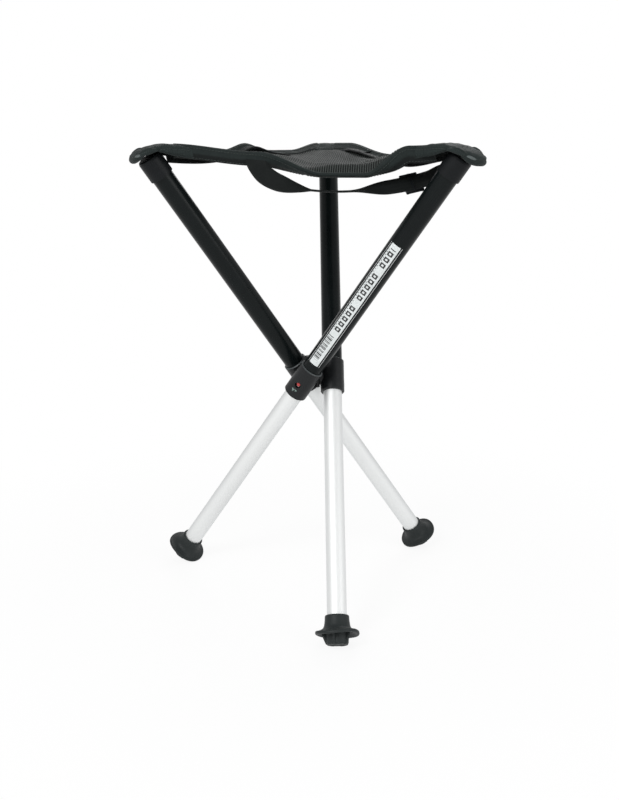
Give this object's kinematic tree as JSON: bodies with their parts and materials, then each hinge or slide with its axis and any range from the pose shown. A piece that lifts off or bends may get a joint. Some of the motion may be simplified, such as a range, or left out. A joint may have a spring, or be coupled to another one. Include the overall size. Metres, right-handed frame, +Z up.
{
  "type": "folding telescopic stool",
  "caption": "Collapsible stool: crossed telescopic legs turn on a central hub and carry a triangular mesh sling seat with a carry strap.",
  "frame": {"origin": "on the floor under the middle of the bounding box", "axes": "+Z up; a viewer who looks along +Y sees the first leg cross in front, its top to the right"},
  "size_m": [0.3864, 0.4248, 0.552],
  "materials": {
    "black_tube": "satin anodised black",
    "bright_tube": "satin",
    "black_plastic": "matte moulded",
    "red_plastic": "moulded",
    "black_rubber": "matte",
    "steel": "plain",
    "seat_mesh": "open woven mesh",
    "seat_band": "woven binding",
    "webbing": "woven webbing",
    "white_label": "printed film"
  },
  "bodies": {
    "hub": {"hub": "black_plastic", "pivot_pin_1": "steel", "pivot_pin_2": "steel", "pivot_pin_3": "steel", "seat_panel": "seat_mesh", "edge_band_1": "seat_band", "edge_band_2": "seat_band", "edge_band_3": "seat_band", "carry_strap": "webbing", "strap_slider": "black_plastic"},
    "leg_1": {"upper_tube_1": "black_tube", "sleeve_1": "black_plastic", "top_cap_1": "black_plastic", "cap_rivet_1": "steel", "corner_pocket_1": "seat_band", "label_strip": "white_label"},
    "shaft_1": {"lower_tube_1": "bright_tube", "tube_plug_1": "black_plastic", "foot_1": "black_rubber", "foot_disc_1": "steel", "lock_spring_1": "steel"},
    "button_1": {"lock_button_1": "red_plastic"},
    "leg_2": {"upper_tube_2": "black_tube", "sleeve_2": "black_plastic", "top_cap_2": "black_plastic", "cap_rivet_2": "steel", "corner_pocket_2": "seat_band"},
    "shaft_2": {"lower_tube_2": "bright_tube", "tube_plug_2": "black_plastic", "foot_2": "black_rubber", "foot_disc_2": "steel", "lock_spring_2": "steel"},
    "button_2": {"lock_button_2": "red_plastic"},
    "leg_3": {"upper_tube_3": "black_tube", "sleeve_3": "black_plastic", "top_cap_3": "black_plastic", "cap_rivet_3": "steel", "corner_pocket_3": "seat_band"},
    "shaft_3": {"lower_tube_3": "bright_tube", "tube_plug_3": "black_plastic", "foot_3": "black_rubber", "foot_disc_3": "steel", "lock_spring_3": "steel"},
    "button_3": {"lock_button_3": "red_plastic"}
  },
  "joints": [
    {"name": "fold_1", "type": "hinge", "parent": "hub", "child": "leg_1", "pos_m": [0.00042, -0.02698, 0.27026], "axis": [-0.5, -0.866, 0], "range_deg": [0, 27], "deforming": ["seat_panel", "edge_band_1", "edge_band_2", "edge_band_3", "carry_strap", "strap_slider", "corner_pocket_1", "corner_pocket_2", "corner_pocket_3"]},
    {"name": "fold_2", "type": "hinge", "parent": "hub", "child": "leg_2", "pos_m": [0.03642, -0.00619, 0.27026], "axis": [1, 0, 0], "range_deg": [0, 27]},
    {"name": "fold_3", "type": "hinge", "parent": "hub", "child": "leg_3", "pos_m": [0.00042, 0.01459, 0.27026], "axis": [-0.5, 0.866, 0], "range_deg": [0, 27]},
    {"name": "extend_1", "type": "slide", "parent": "leg_1", "child": "shaft_1", "axis": [0.5115, -0.2953, 0.807], "range_m": [0, 0.215], "deforming": ["lock_button_1", "lock_spring_1"]},
    {"name": "extend_2", "type": "slide", "parent": "leg_2", "child": "shaft_2", "axis": [0, 0.5906, 0.807], "range_m": [0, 0.215], "deforming": ["lock_button_2", "lock_spring_2"]},
    {"name": "extend_3", "type": "slide", "parent": "leg_3", "child": "shaft_3", "axis": [-0.5115, -0.2953, 0.807], "range_m": [0, 0.215], "deforming": ["lock_button_3", "lock_spring_3"]},
    {"name": "press_1", "type": "slide", "parent": "shaft_1", "child": "button_1", "axis": [0.4242, 0.9035, 0.0617], "range_m": [0, 0.0022], "stiffness_N_per_m": 600, "springref_m": -0.002, "deforming": ["lock_spring_1"]},
    {"name": "press_2", "type": "slide", "parent": "shaft_2", "child": "button_2", "axis": [-0.9945, -0.0844, 0.0617], "range_m": [0, 0.0022], "stiffness_N_per_m": 600, "springref_m": -0.002, "deforming": ["lock_spring_2"]},
    {"name": "press_3", "type": "slide", "parent": "shaft_3", "child": "button_3", "axis": [0.5703, -0.8191, 0.0617], "range_m": [0, 0.0022], "stiffness_N_per_m": 600, "springref_m": -0.002, "deforming": ["lock_spring_3"]}
  ],
  "couplings": [
    {"joint": "fold_2", "follows": "fold_1", "ratio": 1},
    {"joint": "fold_3", "follows": "fold_1", "ratio": 1}
  ]
}
